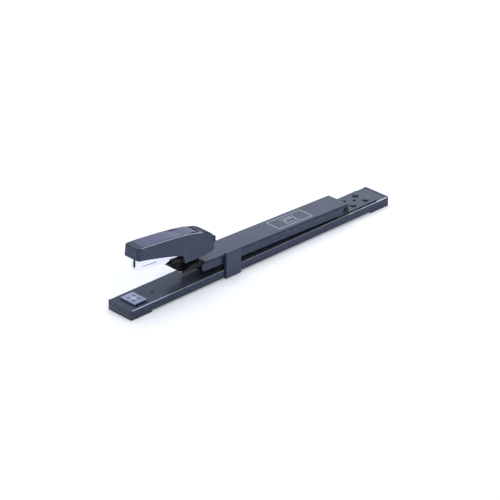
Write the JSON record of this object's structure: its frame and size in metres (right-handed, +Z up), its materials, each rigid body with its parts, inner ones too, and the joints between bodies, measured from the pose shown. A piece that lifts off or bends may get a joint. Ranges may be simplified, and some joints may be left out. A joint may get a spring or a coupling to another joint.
{
  "type": "stapler",
  "caption": "Long-arm stapler: a flat black base with an anvil, a hinged channel arm, a sprung stapling head and a sliding paper guide.",
  "frame": {"origin": "on the table under the middle of the base", "axes": "+Z up; X along the base, with the stapling head at -X and the arm's hinge at +X; Y across it"},
  "size_m": [0.464, 0.0494, 0.0869],
  "materials": {
    "black_enamel": "gloss",
    "black_plate": "gloss",
    "foot_plastic": "satin",
    "bracket_enamel": "gloss",
    "pin_steel": "bright",
    "spring_steel": "bright",
    "leaf_steel": "bright",
    "anvil_zinc": "zinc plated",
    "arm_enamel": "gloss",
    "inner_black": "satin",
    "bush_nylon": "satin",
    "magazine_chrome": "mirror",
    "rail_steel": "satin",
    "staple_wire": "bright",
    "pusher_plastic": "satin",
    "cover_plastic": "gloss",
    "inset_plastic": "satin",
    "catch_plastic": "satin",
    "guide_plastic": "gloss"
  },
  "bodies": {
    "base": {"base_tray": "black_enamel", "base_plate": "black_plate", "front_foot": "foot_plastic", "rear_foot": "foot_plastic", "hinge_bracket": "bracket_enamel", "bracket_rivets": "bracket_enamel", "hinge_pin": "pin_steel", "hinge_clip": "pin_steel", "anvil_leaf_spring": "spring_steel", "leaf_rivet": "bracket_enamel", "arm_return_spring": "spring_steel"},
    "button": {"anvil_button": "foot_plastic"},
    "anvil": {"anvil_post": "pin_steel", "anvil_plate": "anvil_zinc"},
    "arm": {"arm_channel": "arm_enamel", "head_bracket": "inner_black", "head_pivot_pin": "inner_black", "pivot_bushes": "bush_nylon", "head_return_spring": "leaf_steel"},
    "magazine": {"magazine_channel": "magazine_chrome", "staple_rail": "rail_steel", "staple_strip": "staple_wire", "rod_end_plates": "rail_steel", "pusher_rod": "pin_steel", "pusher_spring": "spring_steel", "head_frame": "inner_black", "magazine_rivets": "pin_steel", "handle_pin": "pin_steel", "spring_seat": "rail_steel", "handle_return_spring": "spring_steel"},
    "pusher": {"pusher": "pusher_plastic"},
    "handle": {"handle_frame": "inner_black", "driver_blade": "pin_steel", "blade_rivets": "pin_steel", "cover_shell": "cover_plastic", "cover_inset": "inset_plastic", "catch_spring": "spring_steel"},
    "catch": {"catch_button": "catch_plastic"},
    "guide": {"paper_guide": "guide_plastic"}
  },
  "joints": [
    {"name": "anvil_lift", "type": "slide", "parent": "base", "child": "button", "axis": [0, 0, 1], "range_m": [0, 0.0012], "stiffness_N_per_m": 500, "springref_m": -0.002, "deforming": ["anvil_leaf_spring"]},
    {"name": "anvil_turn", "type": "hinge", "parent": "button", "child": "anvil", "pos_m": [-0.2084, 0, 0.0123], "axis": [0, 0, 1], "range_deg": [0, 180]},
    {"name": "arm_press", "type": "hinge", "parent": "base", "child": "arm", "pos_m": [0.15, 0, 0.0195], "axis": [0, -1, 0], "range_deg": [0, 2], "stiffness_Nm_per_rad": 20, "springref_deg": -14.32},
    {"name": "head_press", "type": "hinge", "parent": "arm", "child": "magazine", "pos_m": [-0.11285, 0, 0.03294], "axis": [0, -1, 0], "range_deg": [0, 14.8], "stiffness_Nm_per_rad": 2, "springref_deg": -14.32, "deforming": ["head_return_spring"]},
    {"name": "handle_press", "type": "hinge", "parent": "magazine", "child": "handle", "pos_m": [-0.09008, 0, 0.05503], "axis": [0, -1, 0], "range_deg": [-60, 4.6], "stiffness_Nm_per_rad": 1, "springref_deg": -1.72, "deforming": ["handle_return_spring"]},
    {"name": "pusher_slide", "type": "slide", "parent": "magazine", "child": "pusher", "axis": [0.9977, 0, -0.068], "range_m": [0, 0.026], "stiffness_N_per_m": 60, "springref_m": -0.02, "deforming": ["pusher_spring"]},
    {"name": "catch_push", "type": "slide", "parent": "handle", "child": "catch", "axis": [-0.068, 0, -0.9977], "range_m": [0, 0.0024], "stiffness_N_per_m": 300, "springref_m": -0.002, "deforming": ["catch_spring"]},
    {"name": "guide_slide", "type": "slide", "parent": "base", "child": "guide", "axis": [1, 0, 0], "range_m": [-0.03, 0.187]}
  ]
}
